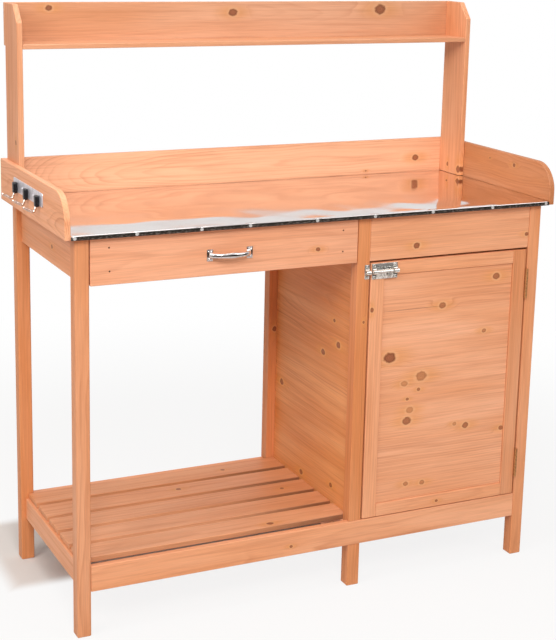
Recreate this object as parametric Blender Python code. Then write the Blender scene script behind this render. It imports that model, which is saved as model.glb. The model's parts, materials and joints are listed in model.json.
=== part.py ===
# A free-standing potting bench of fir boards: a drawer, a cupboard with a hinged and bolted door, a slatted
# lower shelf, a worktop covered with sheet metal, and a raised shelf.
# X runs along the bench to the right, Y from its front to its back, Z up from the floor.
# Sizes are in metres.

import math

import bmesh
import bpy
from mathutils import Vector

# Frame
frame_width = 1.074  # between the outer faces of the left and right legs
frame_depth = 0.435  # from the front faces of the legs to their back faces
leg_size = 0.029  # square section of legs and posts
worktop_height = 0.835  # floor to the upper face of the metal
touch_gap = 0.0003  # between faces that touch
eased_edge = 0.001  # bevel on the edges of boards
leg_edge = 0.0018  # bevel on the edges of legs and posts

# Worktop
worktop_board = 0.008  # thickness of the board under the metal
sheet_thickness = 0.0006
front_overhang = 0.013  # metal edge in front of the legs
side_overhang = 0.011  # end of the worktop beyond the legs
rear_overhang = 0.005  # back board behind the legs

# Raised edge of the worktop
edge_board_height = 0.089
side_board_thickness = 0.012
back_board_thickness = 0.010
side_board_radius = 0.060  # rounded upper front corner

# Uprights and the raised shelf
overall_height = 1.246
upright_depth = 0.091
upright_thickness = 0.012
upright_cut_height = 0.037  # corner cut off the top of the front edge
upright_cut_depth = 0.031
shelf_drop = 0.0805  # upper face below the tops of the uprights
shelf_thickness = 0.010
shelf_back_height = 0.090
shelf_back_thickness = 0.010

# Lower frame
foot_height = 0.0965  # floor to the bottom of the front and back rails
long_rail_height = 0.0545
long_rail_thickness = 0.014
side_rail_bottom = 0.098
side_rail_height = 0.048
side_rail_thickness = 0.014
side_inset = 0.011  # side rails and aprons behind the outer faces of the legs
middle_rail_width = 0.038
middle_rail_inset = 0.004  # its left face from the left face of the front middle post
post_inset = 0.001  # middle posts behind the faces of the long rails

# Slatted shelf
slat_count = 5
slat_thickness = 0.0118
slat_gap = 0.014
slat_inset = 0.006  # end of a slat from the outer face of the left rail

# Middle posts and cupboard
door_opening = 0.400  # between the front middle post and the right leg
rear_post_offset = 0.010  # rear middle post further left than the front one
panel_thickness = 0.010
panel_inset = 0.010  # left panel behind the left face of the front middle post
back_panel_inset = 0.018  # back panel in front of the back faces of the legs

# Aprons under the worktop
front_apron_height = 0.0945
side_apron_height = 0.089
apron_thickness = 0.012
front_apron_inset = 0.0015

# Drawer
drawer_front_height = 0.093
drawer_front_thickness = 0.012
drawer_clearance = 0.002  # around the drawer front
drawer_board = 0.010
drawer_side_height = 0.066
drawer_side_clearance = 0.0115  # between the sides and the legs or the middle post
drawer_length = 0.375  # behind the front
drawer_bottom_thickness = 0.004
drawer_bottom_lift = 0.006  # from the lower edges of the sides
drawer_bottom_groove = 0.0015  # clearance of the bottom between the sides
runner_height = 0.012
runner_lift = 0.0065  # runners above the bottom of the drawer front

# Drawer handle
handle_pitch = 0.087
handle_foot_width = 0.013
handle_foot_height = 0.024
handle_foot_thickness = 0.003
handle_reach = 0.022
handle_bar_height = 0.009
handle_bar_thickness = 0.0045
handle_height = 0.0425  # its middle above the bottom of the drawer front
handle_arc_steps = 14

# Door
door_thickness = 0.015
door_stile = 0.033
door_rail = 0.029
door_panel_thickness = 0.006
door_panel_inset = 0.0035
door_latch_gap = 0.0035  # between the door and the middle post
door_hinge_gap = 0.004  # between the door and the right leg
door_bottom_gap = 0.002
door_top_gap = 0.0043  # between the door and the front apron
door_back_gap = 0.001  # between the closed door and the cupboard's floor

# Butt hinges
hinge_length = 0.066
hinge_leaf = 0.0011
hinge_leaf_depth = 0.018
knuckle_radius = 0.0032
hinge_pin_radius = 0.0012
hinge_pin_clearance = 0.0003
hinge_axis_reach = 0.0035  # pin in front of the door's face
hinge_upper_drop = 0.077  # middle of the upper hinge below the top of the door
hinge_lower_rise = 0.075  # middle of the lower hinge above the bottom of the door

# Barrel bolt
latch_length = 0.062
latch_height = 0.034
latch_plate_thickness = 0.0015
latch_edge = 0.001  # left end of the plate from the edge of the door
latch_drop = 0.018  # bolt below the top of the door
bolt_radius = 0.00325
bolt_clearance = 0.0008
bolt_travel = 0.0145
bolt_knob_radius = 0.0025
bolt_knob_length = 0.014
bolt_knob_margin = 0.016  # knob from the near guide with the bolt shot
guide_wall = 0.0015
guide_stand = 0.00045  # guide rings clear of the door's face
guide_width = 0.010
keeper_width = 0.0115
keeper_height = 0.031
keeper_gap = 0.0010  # keeper from the right face of the middle post

# Hook rack
rack_length = 0.207
rack_height = 0.028
rack_thickness = 0.0015
rack_front = 0.1385  # from the front end of the side board
rack_drop = 0.0225  # top of the plate below the top of the side board
hook_count = 3
hook_pitch = 0.0785
hook_block_width = 0.012
hook_block_height = 0.023
hook_block_depth = 0.006
hook_block_drop = 0.007  # top of a block below the top of the plate
hook_wire_radius = 0.0023
hook_low_out = 0.0125  # lowest point of a hook from the side board
hook_low_drop = 0.0145  # and below the bottom of its block
hook_tip_out = 0.0340
hook_tip_rise = 0.0135  # tip above the lowest point

round_steps = 24

# Places that follow from the sizes, on a bench whose middle is X 0 and whose legs start at Y 0
leg_left = -frame_width / 2
leg_right = frame_width / 2
board_underside = worktop_height - sheet_thickness - touch_gap - worktop_board
frame_top = board_underside - touch_gap
worktop_half = frame_width / 2 + side_overhang
outer_half = worktop_half + side_board_thickness
shelf_top = overall_height - shelf_drop
rear_end = frame_depth + rear_overhang
back_board_front = rear_end - back_board_thickness
edge_bottom = board_underside + 0.001
edge_top = worktop_height + edge_board_height - (worktop_height - edge_bottom)
upright_front = back_board_front - touch_gap - upright_depth
upright_inner = worktop_half - touch_gap - upright_thickness
rail_top = foot_height + long_rail_height
side_rail_top = side_rail_bottom + side_rail_height
post_left = leg_right - leg_size - door_opening - leg_size
post_right = post_left + leg_size
rear_post_left = post_left - rear_post_offset
rear_post_right = rear_post_left + leg_size
panel_left = post_left + panel_inset
panel_right = panel_left + panel_thickness
inner_front = leg_size + touch_gap
inner_rear = frame_depth - leg_size - touch_gap
side_apron_bottom = frame_top - side_apron_height
door_left = post_right + door_latch_gap
door_right = leg_right - leg_size - door_hinge_gap
door_bottom = rail_top + door_bottom_gap
door_top = frame_top - front_apron_height - door_top_gap
hinge_x = door_right + door_hinge_gap / 2
drawer_left = leg_left + leg_size + drawer_clearance
drawer_right = post_left - drawer_clearance
drawer_top = board_underside - drawer_clearance
drawer_bottom_edge = drawer_top - drawer_front_height
runner_bottom = drawer_bottom_edge + runner_lift
runner_top = runner_bottom + runner_height
latch_z = door_top - latch_drop
guide_radius = bolt_radius + bolt_clearance + guide_wall
bolt_reach = guide_radius + guide_stand  # axis of the bolt in front of the door
hook_tip_angle = math.atan2(hook_tip_rise, hook_tip_out - hook_low_out)
hook_reach = hook_tip_out + hook_wire_radius * math.sin(hook_tip_angle)

# The whole bench, hooks and handle included, stands centred over the origin
bench_at = Vector((hook_reach / 2, (handle_reach - rear_end) / 2, 0))


def linear(hex_colour):
    channels = [int(hex_colour[i:i + 2], 16) / 255 for i in (0, 2, 4)]
    return [c / 12.92 if c <= 0.04045 else ((c + 0.055) / 1.055) ** 2.4 for c in channels]


def material(name, hex_colour, roughness, metallic):
    made = bpy.data.materials.new(name)
    made.use_nodes = True
    shader = made.node_tree.nodes["Principled BSDF"]
    shader.inputs["Base Color"].default_value = (*linear(hex_colour), 1)
    shader.inputs["Roughness"].default_value = roughness
    shader.inputs["Metallic"].default_value = metallic
    return made


def empty(name, at):
    made = bpy.data.objects.new(name, None)
    bpy.context.scene.collection.objects.link(made)
    made.location = at
    made.empty_display_size = 0.05
    return made


def add(name, shape, at, body, finish):
    mesh = bpy.data.meshes.new(name)
    bmesh.ops.recalc_face_normals(shape, faces=shape.faces)
    shape.to_mesh(mesh)
    shape.free()
    made = bpy.data.objects.new(name, mesh)
    bpy.context.scene.collection.objects.link(made)
    made.data.materials.append(finish)
    made.parent = body
    made.location = Vector(at) - (body.location if body is not bench else Vector())
    return made


def bevel(made, width, segments=1):
    modifier = made.modifiers.new("eased edges", "BEVEL")
    modifier.width = width
    modifier.segments = segments
    modifier.limit_method = "ANGLE"
    modifier.angle_limit = math.radians(40)


def prism_shape(outline, axis, length):
    # The outline's two coordinates run along the other two axes in X, Y, Z order
    shape = bmesh.new()
    corners = []
    for u, v in outline:
        place = [u, v]
        place.insert(axis, -length / 2)
        corners.append(shape.verts.new(place))
    face = shape.faces.new(corners)
    grown = bmesh.ops.extrude_face_region(shape, geom=[face])
    moved = [v for v in grown["geom"] if isinstance(v, bmesh.types.BMVert)]
    step = Vector((0, 0, 0))
    step[axis] = length
    bmesh.ops.translate(shape, verts=moved, vec=step)
    return shape


def prism(name, outline, axis, start, end, body, finish, edge=eased_edge):
    middle_u = (min(p[0] for p in outline) + max(p[0] for p in outline)) / 2
    middle_v = (min(p[1] for p in outline) + max(p[1] for p in outline)) / 2
    local = [(u - middle_u, v - middle_v) for u, v in outline]
    at = [middle_u, middle_v]
    at.insert(axis, (start + end) / 2)
    made = add(name, prism_shape(local, axis, end - start), at, body, finish)
    if edge:
        bevel(made, edge)
    return made


def board(name, xs, ys, zs, body=None, finish=None, edge=eased_edge):
    outline = [(xs[0], ys[0]), (xs[1], ys[0]), (xs[1], ys[1]), (xs[0], ys[1])]
    return prism(name, outline, 2, zs[0], zs[1], body or bench, finish or fir, edge)


def rod(name, radius, start, end, axis, across, body, finish):
    # across holds the axis's place on the other two axes, in X, Y, Z order
    turn = [2 * math.pi * i / round_steps for i in range(round_steps)]
    outline = [(across[0] + radius * math.cos(a), across[1] + radius * math.sin(a)) for a in turn]
    made = prism(name, outline, axis, start, end, body, finish, 0)
    made.data.shade_smooth()
    made.data.set_sharp_from_angle(angle=math.radians(40))
    return made


def join(made, other, operation):
    other.hide_render = True
    other.display_type = "WIRE"
    modifier = made.modifiers.new(other.name, "BOOLEAN")
    modifier.object = other
    modifier.operation = operation
    modifier.solver = "EXACT"


def add_legs():
    spans_x = {"left": (leg_left, leg_left + leg_size), "right": (leg_right - leg_size, leg_right)}
    spans_y = {"front": (0, leg_size), "rear": (frame_depth - leg_size, frame_depth)}
    for depth, ys in spans_y.items():
        for side, xs in spans_x.items():
            board(f"leg_{depth}_{side}", xs, ys, (0, frame_top), edge=leg_edge)


def add_middle_posts():
    # Each post is cut back where the long rail passes in front of it
    low = foot_height - touch_gap
    high = rail_top + touch_gap
    cut = long_rail_thickness + touch_gap
    front = [(post_inset, 0), (leg_size, 0), (leg_size, frame_top), (post_inset, frame_top),
             (post_inset, high), (cut, high), (cut, low), (post_inset, low)]
    prism("post_front_middle", front, 0, post_left, post_right, bench, fir)
    top = side_apron_bottom - touch_gap
    rear = [(frame_depth - y, min(z, top)) for y, z in front]
    prism("post_rear_middle", rear, 0, rear_post_left, rear_post_right, bench, fir)


def add_rails():
    inside = (leg_left + leg_size + touch_gap, leg_right - leg_size - touch_gap)
    between = (inner_front, inner_rear)
    long_z = (foot_height, rail_top)
    board("rail_bottom_front", inside, (0, long_rail_thickness), long_z)
    board("rail_bottom_rear", inside, (frame_depth - long_rail_thickness, frame_depth), long_z)
    side_z = (side_rail_bottom, side_rail_top)
    left = leg_left + side_inset
    right = leg_right - side_inset
    board("rail_bottom_left", (left, left + side_rail_thickness), between, side_z)
    board("rail_bottom_right", (right - side_rail_thickness, right), between, side_z)
    middle = post_left - middle_rail_inset
    board("rail_bottom_middle", (middle, middle + middle_rail_width), between, side_z)


def add_slats():
    start = leg_left + side_inset + slat_inset
    bottom = side_rail_top + touch_gap
    width = (inner_rear - inner_front - slat_gap * (slat_count - 1)) / slat_count
    for number in range(slat_count):
        front = inner_rear - width - number * (width + slat_gap)
        zs = (bottom, bottom + slat_thickness)
        board(f"slat_{number + 1}", (start, panel_left - touch_gap), (front, front + width), zs)


def add_aprons():
    left = leg_left + side_inset
    right = leg_right - side_inset
    side_z = (side_apron_bottom, frame_top)
    board("apron_left", (left, left + apron_thickness), (inner_front, inner_rear), side_z)
    board("apron_right", (right - apron_thickness, right), (inner_front, inner_rear), side_z)
    inside = (leg_left + leg_size + touch_gap, leg_right - leg_size - touch_gap)
    board("apron_rear", inside, (frame_depth - apron_thickness, frame_depth), side_z)
    over_door = (post_right + touch_gap, leg_right - leg_size - touch_gap)
    ys = (front_apron_inset, front_apron_inset + apron_thickness)
    board("apron_front_right", over_door, ys, (frame_top - front_apron_height, frame_top))


def add_cupboard():
    bottom = side_rail_top + touch_gap
    between = (inner_front, inner_rear)
    board("cabinet_side_left", (panel_left, panel_right), between, (bottom, frame_top))
    right = leg_right - side_inset
    top = side_apron_bottom - touch_gap
    side_right = (right - panel_thickness, right)
    board("cabinet_side_right", side_right, between, (bottom, top))
    front = frame_depth - back_panel_inset - panel_thickness
    inside = (rear_post_right + touch_gap, leg_right - leg_size - touch_gap)
    board("cabinet_back", inside, (front, front + panel_thickness), (bottom, top))
    # The floor fits around the middle post and the right leg
    low_y = door_thickness + door_back_gap
    edge_y = leg_size + touch_gap
    left_x = panel_right + touch_gap
    right_x = side_right[0] - touch_gap
    post_x = post_right + touch_gap
    leg_x = leg_right - leg_size - touch_gap
    floor = [(post_x, low_y), (leg_x, low_y), (leg_x, edge_y), (right_x, edge_y), (right_x, inner_rear),
             (left_x, inner_rear), (left_x, edge_y), (post_x, edge_y)]
    prism("cabinet_floor", floor, 2, rail_top + touch_gap, rail_top + touch_gap + panel_thickness, bench, fir)


def add_worktop():
    ends = (-worktop_half + touch_gap, worktop_half - touch_gap)
    lip_back = -front_overhang + sheet_thickness
    board_front = lip_back + touch_gap
    board_back = back_board_front - touch_gap
    sheet_bottom = worktop_height - sheet_thickness
    board("tabletop_board", ends, (board_front, board_back), (board_underside, sheet_bottom - touch_gap))
    section = [(-front_overhang, board_underside), (lip_back, board_underside), (lip_back, sheet_bottom),
               (board_back, sheet_bottom), (board_back, worktop_height), (-front_overhang, worktop_height)]
    prism("tabletop_metal", section, 0, ends[0], ends[1], bench, sheet_metal, 0)


def side_board_outline():
    centre = (-front_overhang + side_board_radius, edge_top - side_board_radius)
    outline = [(-front_overhang, edge_bottom), (rear_end, edge_bottom), (rear_end, edge_top)]
    steps = 12
    for i in range(steps + 1):
        turn = math.pi / 2 + math.pi / 2 * i / steps
        y = centre[0] + side_board_radius * math.cos(turn)
        outline.append((y, centre[1] + side_board_radius * math.sin(turn)))
    return outline


def add_raised_edge():
    outline = side_board_outline()
    prism("side_board_left", outline, 0, -outer_half, -worktop_half, bench, fir)
    prism("side_board_right", outline, 0, worktop_half, outer_half, bench, fir)
    ends = (-worktop_half + touch_gap, worktop_half - touch_gap)
    board("back_board", ends, (back_board_front, rear_end), (edge_bottom, edge_top))


def add_shelf():
    back = upright_front + upright_depth
    low = worktop_height + touch_gap
    cut_z = overall_height - upright_cut_height
    outline = [(upright_front, low), (back, low), (back, overall_height),
               (upright_front + upright_cut_depth, overall_height), (upright_front, cut_z)]
    for side, sign in (("left", -1), ("right", 1)):
        ends = sorted((sign * upright_inner, sign * (upright_inner + upright_thickness)))
        prism(f"upright_{side}", outline, 0, ends[0], ends[1], bench, fir)
    between = (-upright_inner + touch_gap, upright_inner - touch_gap)
    board("shelf_board", between, (upright_front, back), (shelf_top - shelf_thickness, shelf_top))
    panel_front = back + touch_gap
    panel_ys = (panel_front, panel_front + shelf_back_thickness - touch_gap)
    panel_zs = (overall_height - shelf_back_height, overall_height)
    board("shelf_back_board", (-worktop_half, worktop_half), panel_ys, panel_zs)


def add_drawer():
    zs = (drawer_bottom_edge, drawer_top)
    board("drawer_front", (drawer_left, drawer_right), (0, drawer_front_thickness), zs, drawer)
    front = drawer_front_thickness + touch_gap
    back = drawer_front_thickness + drawer_length
    left = leg_left + leg_size + drawer_side_clearance
    right = post_left - drawer_side_clearance
    side_zs = (runner_top + touch_gap, runner_top + touch_gap + drawer_side_height)
    board("drawer_side_left", (left, left + drawer_board), (front, back), side_zs, drawer)
    board("drawer_side_right", (right - drawer_board, right), (front, back), side_zs, drawer)
    inside = (left + drawer_board + touch_gap, right - drawer_board - touch_gap)
    board("drawer_back", inside, (back - drawer_board, back), side_zs, drawer)
    bottom = side_zs[0] + drawer_bottom_lift
    bottom_xs = (inside[0] + drawer_bottom_groove, inside[1] - drawer_bottom_groove)
    bottom_ys = (front, back - drawer_board - touch_gap)
    bottom_zs = (bottom, bottom + drawer_bottom_thickness)
    board("drawer_bottom", bottom_xs, bottom_ys, bottom_zs, drawer, fir, 0.0005)


def add_runners():
    zs = (runner_bottom, runner_top)
    ys = (inner_front, inner_rear)
    left_side = leg_left + leg_size + drawer_side_clearance + drawer_board
    right_side = post_left - drawer_side_clearance - drawer_board
    left_start = leg_left + side_inset + apron_thickness + touch_gap
    board("drawer_runner_left", (left_start, left_side), ys, zs)
    board("drawer_runner_right", (right_side, panel_left - touch_gap), ys, zs)


def add_handle():
    middle = (drawer_left + drawer_right) / 2
    z = drawer_bottom_edge + handle_height
    face = -touch_gap
    half = handle_pitch / 2
    # The bar bows forward from foot to foot
    outer = []
    inner = []
    inside = half - handle_foot_width / 2
    for i in range(handle_arc_steps + 1):
        turn = math.pi * i / handle_arc_steps
        outer.append((middle - half * math.cos(turn), -handle_reach * math.sin(turn) ** 0.7))
        reach = handle_reach - handle_bar_thickness
        inner.append((middle - inside * math.cos(turn), -reach * math.sin(turn) ** 0.7))
    outer[0] = (outer[0][0], face - handle_foot_thickness / 2)
    outer[-1] = (outer[-1][0], face - handle_foot_thickness / 2)
    inner[0] = (inner[0][0], face - handle_foot_thickness / 2)
    inner[-1] = (inner[-1][0], face - handle_foot_thickness / 2)
    low = z - handle_bar_height / 2
    bar = prism("drawer_handle", outer + inner[::-1], 2, low, low + handle_bar_height, drawer, chrome, 0)
    for side, sign in (("left", -1), ("right", 1)):
        x = middle + sign * half
        xs = (x - handle_foot_width / 2, x + handle_foot_width / 2)
        zs = (z - handle_foot_height / 2, z + handle_foot_height / 2)
        foot = board(f"guide_foot_{side}", xs, (face - handle_foot_thickness, face), zs, drawer, chrome, 0)
        join(bar, foot, "UNION")


def add_door():
    zs = (door_bottom, door_top)
    ys = (0, door_thickness)
    board("door_stile_left", (door_left, door_left + door_stile), ys, zs, door)
    board("door_stile_right", (door_right - door_stile, door_right), ys, zs, door)
    inside = (door_left + door_stile + touch_gap, door_right - door_stile - touch_gap)
    board("door_rail_top", inside, ys, (door_top - door_rail, door_top), door)
    board("door_rail_bottom", inside, ys, (door_bottom, door_bottom + door_rail), door)
    panel_ys = (door_panel_inset, door_panel_inset + door_panel_thickness)
    panel_zs = (door_bottom + door_rail + touch_gap, door_top - door_rail - touch_gap)
    board("door_panel", inside, panel_ys, panel_zs, door, fir, 0.0004)


def hinge_leaf_solid(name, xs, spans, low, high, body):
    # A leaf is a plate with a tongue to each of its own knuckles
    plate_front = knuckle_radius + touch_gap - hinge_axis_reach
    ys = (plate_front, plate_front + hinge_leaf_depth)
    leaf = board(name, xs, ys, (low, high), body, zinc, 0)
    for number, (start, end) in enumerate(spans):
        across = (hinge_x, -hinge_axis_reach)
        tongue_ys = (-hinge_axis_reach, plate_front + hinge_leaf)
        tongue = board(f"guide_{name}_tongue_{number}", xs, tongue_ys, (start, end), body, zinc, 0)
        knuckle = rod(f"guide_{name}_knuckle_{number}", knuckle_radius, start, end, 2, across, body, zinc)
        join(leaf, tongue, "UNION")
        join(leaf, knuckle, "UNION")
    bore_radius = hinge_pin_radius + hinge_pin_clearance
    across = (hinge_x, -hinge_axis_reach)
    bore = rod(f"guide_{name}_bore", bore_radius, low - 0.002, high + 0.002, 2, across, body, zinc)
    join(leaf, bore, "DIFFERENCE")


def add_hinge(name, middle):
    low = middle - hinge_length / 2
    high = middle + hinge_length / 2
    third = hinge_length / 3
    door_xs = (door_right + touch_gap, door_right + touch_gap + hinge_leaf)
    leg_face = leg_right - leg_size
    leg_xs = (leg_face - touch_gap - hinge_leaf, leg_face - touch_gap)
    middle_span = [(low + third + touch_gap, high - third - touch_gap)]
    end_spans = [(low, low + third), (high - third, high)]
    hinge_leaf_solid(f"{name}_door_leaf", door_xs, middle_span, low, high, door)
    hinge_leaf_solid(f"{name}_post_leaf", leg_xs, end_spans, low, high, bench)
    rod(f"{name}_pin", hinge_pin_radius, low - 0.0005, high + 0.0005, 2, (hinge_x, -hinge_axis_reach), bench, zinc)


def guide_ring(base, name, start, end, body):
    across = (-bolt_reach, latch_z)
    ring = rod(f"guide_{name}", guide_radius, start, end, 0, across, body, chrome)
    join(base, ring, "UNION")


def guide_bore(base, name, start, end, body):
    across = (-bolt_reach, latch_z)
    radius = bolt_radius + bolt_clearance
    bore = rod(f"guide_{name}_bore", radius, start - 0.002, end + 0.002, 0, across, body, chrome)
    join(base, bore, "DIFFERENCE")


def add_latch():
    left = door_left + latch_edge
    right = left + latch_length
    ys = (-touch_gap - latch_plate_thickness, -touch_gap)
    zs = (latch_z - latch_height / 2, latch_z + latch_height / 2)
    plate = board("latch_plate", (left, right), ys, zs, door, chrome, 0)
    guide_ring(plate, "near", left, left + guide_width, door)
    guide_ring(plate, "far", right - guide_width, right, door)
    guide_bore(plate, "plate", left, right, door)

    # The bolt is drawn back at rest, flush with the left end of its plate
    across = (-bolt_reach, latch_z)
    bolt = rod("latch_bolt", bolt_radius, left + 0.0005, right + 0.001, 0, across, sliding_bolt, chrome)
    knob_x = left + guide_width + bolt_knob_margin + bolt_travel
    knob_z = latch_z - bolt_knob_length
    knob = rod("guide_knob", bolt_knob_radius, knob_z, latch_z, 2, (knob_x, -bolt_reach), sliding_bolt, chrome)
    join(bolt, knob, "UNION")

    face = post_inset - touch_gap
    keeper_right = post_right - keeper_gap
    xs = (keeper_right - keeper_width, keeper_right)
    keeper_zs = (latch_z - keeper_height / 2, latch_z + keeper_height / 2)
    keeper_ys = (face - latch_plate_thickness, face)
    keeper = board("latch_keeper", xs, keeper_ys, keeper_zs, bench, chrome, 0)
    # A web carries the keeper's ring, because the post stands a little behind the door
    web_ys = (-bolt_reach, face - latch_plate_thickness / 2)
    web = board("guide_web", xs, web_ys, (latch_z - guide_radius, latch_z + guide_radius), bench, chrome, 0)
    join(keeper, web, "UNION")
    guide_ring(keeper, "keeper", xs[0], xs[1], bench)
    guide_bore(keeper, "keeper", xs[0], xs[1], bench)


def hook_wire(name, x, y, z):
    # From inside the block, out and down to a rounded bend, then up to the tip
    path = bpy.data.curves.new(name, "CURVE")
    path.dimensions = "3D"
    path.bevel_depth = hook_wire_radius
    path.bevel_resolution = 3
    path.use_fill_caps = True
    line = path.splines.new("POLY")
    start = Vector((-hook_block_depth / 2 - rack_thickness, 0.003))
    low = Vector((-hook_low_out, -hook_low_drop))
    tip = Vector((-hook_tip_out, hook_tip_rise - hook_low_drop))
    bend = 0.006
    before = low + (start - low).normalized() * bend
    after = low + (tip - low).normalized() * bend
    points = [start]
    steps = 5
    for i in range(steps + 1):
        t = i / steps
        points.append(before * (1 - t) ** 2 + low * 2 * t * (1 - t) + after * t ** 2)
    points.append(tip)
    line.points.add(len(points) - 1)
    for point, place in zip(line.points, points):
        point.co = (place[0], 0, place[1], 1)
    drawn = bpy.data.objects.new(name, path)
    made = bpy.data.objects.new(name, bpy.data.meshes.new_from_object(drawn))
    bpy.data.objects.remove(drawn)
    bpy.context.scene.collection.objects.link(made)
    made.parent = bench
    made.location = (x, y, z)
    return made


def add_hook_rack():
    face = -outer_half - touch_gap
    front = -front_overhang + rack_front
    top = edge_top - rack_drop
    plate_xs = (face - rack_thickness, face)
    ys = (front, front + rack_length)
    board("hook_rack_plate", plate_xs, ys, (top - rack_height, top), bench, zinc, 0.0004)
    middle = front + rack_length / 2
    block_xs = (face - rack_thickness - touch_gap - hook_block_depth, face - rack_thickness - touch_gap)
    block_top = top - hook_block_drop
    block_low = block_top - hook_block_height
    for number in range(hook_count):
        y = middle + hook_pitch * ((hook_count - 1) / 2 - number)
        block_ys = (y - hook_block_width / 2, y + hook_block_width / 2)
        name = f"hook_{number + 1}"
        block = board(name, block_xs, block_ys, (block_low, block_top), bench, black_rubber, 0)
        wire = hook_wire(f"guide_{name}", -outer_half, y, block_low)
        join(block, wire, "UNION")


for old in list(bpy.data.objects):
    bpy.data.objects.remove(old, do_unlink=True)

fir = material("fir", "d9935f", 0.62, 0.0)
sheet_metal = material("sheet metal", "b9bbbd", 0.22, 1.0)
chrome = material("chrome", "d5d6d8", 0.12, 1.0)
zinc = material("zinc plate", "b4b2ac", 0.3, 1.0)
black_rubber = material("black rubber", "17181a", 0.5, 0.0)

bench = empty("bench", bench_at)
drawer = empty("drawer", (0, 0, drawer_bottom_edge))
door = empty("door", (hinge_x, -hinge_axis_reach, door_bottom))
sliding_bolt = empty("sliding_bolt", (door_left, -bolt_reach, latch_z))
for body in (drawer, door, sliding_bolt):
    body.parent = bench

add_legs()
add_middle_posts()
add_rails()
add_slats()
add_aprons()
add_cupboard()
add_worktop()
add_raised_edge()
add_shelf()
add_drawer()
add_runners()
add_handle()
add_door()
add_hinge("hinge_upper", door_top - hinge_upper_drop)
add_hinge("hinge_lower", door_bottom + hinge_lower_rise)
add_latch()
add_hook_rack()
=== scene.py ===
import json
import math
import random
from functools import partial

import bmesh
import bpy
from mathutils import Matrix, Vector


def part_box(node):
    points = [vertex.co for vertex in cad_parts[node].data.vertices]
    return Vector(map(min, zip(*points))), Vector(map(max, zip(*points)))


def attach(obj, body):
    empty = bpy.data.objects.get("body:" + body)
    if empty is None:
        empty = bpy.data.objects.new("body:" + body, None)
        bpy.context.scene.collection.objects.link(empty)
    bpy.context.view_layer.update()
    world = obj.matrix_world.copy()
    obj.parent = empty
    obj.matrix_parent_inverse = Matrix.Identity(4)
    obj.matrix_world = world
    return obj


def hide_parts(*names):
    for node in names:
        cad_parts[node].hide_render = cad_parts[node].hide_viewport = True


# A potting bench of stained fir with a sheet metal worktop: the looks of every board and fitting.
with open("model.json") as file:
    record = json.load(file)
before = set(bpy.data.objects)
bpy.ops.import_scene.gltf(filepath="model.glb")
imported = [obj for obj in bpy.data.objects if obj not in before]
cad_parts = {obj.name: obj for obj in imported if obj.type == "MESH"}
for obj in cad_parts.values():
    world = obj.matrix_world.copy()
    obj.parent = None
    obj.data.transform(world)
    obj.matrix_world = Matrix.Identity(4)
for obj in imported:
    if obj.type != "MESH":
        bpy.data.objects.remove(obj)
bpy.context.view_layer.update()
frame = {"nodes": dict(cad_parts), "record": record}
print("frame loaded, %d nodes" % len(frame["nodes"]))

mm = 0.001
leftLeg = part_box("leg_front_left")
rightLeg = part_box("leg_front_right")
# Every place below is told from the middle of the legs' front faces, on the floor
benchMiddle = Vector(((leftLeg[0][0] + rightLeg[1][0]) / 2, leftLeg[0][1], 0))


def fromBench(x, y, z):
    return benchMiddle + Vector((x, y, z)) * mm


def lin(hexColour):
    # sRGB hex to the linear values that the shaders take
    parts = [int(hexColour[i:i + 2], 16) / 255 for i in (1, 3, 5)]
    return [c / 12.92 if c <= 0.04045 else ((c + 0.055) / 1.055) ** 2.4 for c in parts] + [1]


def plug(node, links):
    # links holds, by the input's name or number, a value, an output, or a node for the output it has in use
    for key, value in links.items():
        if isinstance(value, bpy.types.Node):
            value = next(output for output in value.outputs if output.enabled)
        if isinstance(value, bpy.types.NodeSocket):
            node.id_data.links.new(value, node.inputs[key])
        else:
            node.inputs[key].default_value = value


# What a second word after a node's kind sets
nodeModes = {"Math": "operation", "VectorMath": "operation", "MapRange": "interpolation_type",
             "Mix": "data_type", "TexNoise": "noise_dimensions"}


def addNode(tree, kind, *values, **settings):
    # values fill the inputs in turn, or are a dictionary of them
    kind, *mode = kind.split()
    node = tree.nodes.new("ShaderNode" + kind)
    if mode:
        setattr(node, nodeModes[kind], mode[0])
    for key, value in settings.items():
        setattr(node, key, value)
    for number, value in enumerate(values):
        plug(node, value if isinstance(value, dict) else {number: value})
    return node


def newMaterial(name):
    material = bpy.data.materials.new(name)
    material.use_nodes = True
    tree = material.node_tree
    return material, tree.nodes["Principled BSDF"], partial(addNode, tree)


def newGroup(name, inputs, outputs):
    group = bpy.data.node_groups.new(name, "ShaderNodeTree")
    for label, kind, value in inputs:
        socket = group.interface.new_socket(label, in_out="INPUT", socket_type="NodeSocket" + kind)
        if value is not None:
            socket.default_value = value
    for label in outputs:
        group.interface.new_socket(label, in_out="OUTPUT", socket_type="NodeSocketFloat")
    start = group.nodes.new("NodeGroupInput")
    end = group.nodes.new("NodeGroupOutput")
    return group, start.outputs, end, partial(addNode, group)


# ---- fir, planed and stained ----
firLook = {
    "early": "#F1B189",  # pale spring wood between the rings
    "warm": "#D98954",  # where the stain took more
    "late": "#B96A3A",  # the darker line that ends each ring
    "knot": "#A65F3A",
    "knotEdge": "#6C3418",
    "halo": "#DD9250",  # resin round a knot
    "knotRing": "#EDB68C",  # pale wood close round a knot
    # painted shade for the slats' side faces near the cupboard
    "slatGapShade": "#4A2412",
    "ringWidth": 5.5,  # mm, a little wider than real fir, so that the rings still show from 3 m
    # How dark a ring is from its start to its end: a slow rise, then a sharp stop
    "ringShape": [(0, 0.0), (0.3, 0.06), (0.68, 0.4), (0.86, 1.0), (0.93, 0.9), (1.0, 0.0)],
    "fibreWidth": 0.9,  # mm
    "streakWidth": 4.5,  # mm
    "cloudSize": 70,  # mm
    "shiver": 3.5,  # mm, small unrest in the rings
    "dipReach": 0.17,  # m, over which a steep dip of the grain fades
    "lineStrength": 0.4,
    "roughness": 0.47,
    "bump": 0.22,
    "bumpHeight": 0.6,  # mm
    "edgeRadius": 0.9,  # mm, sharp edges are sanded off
}
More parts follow.
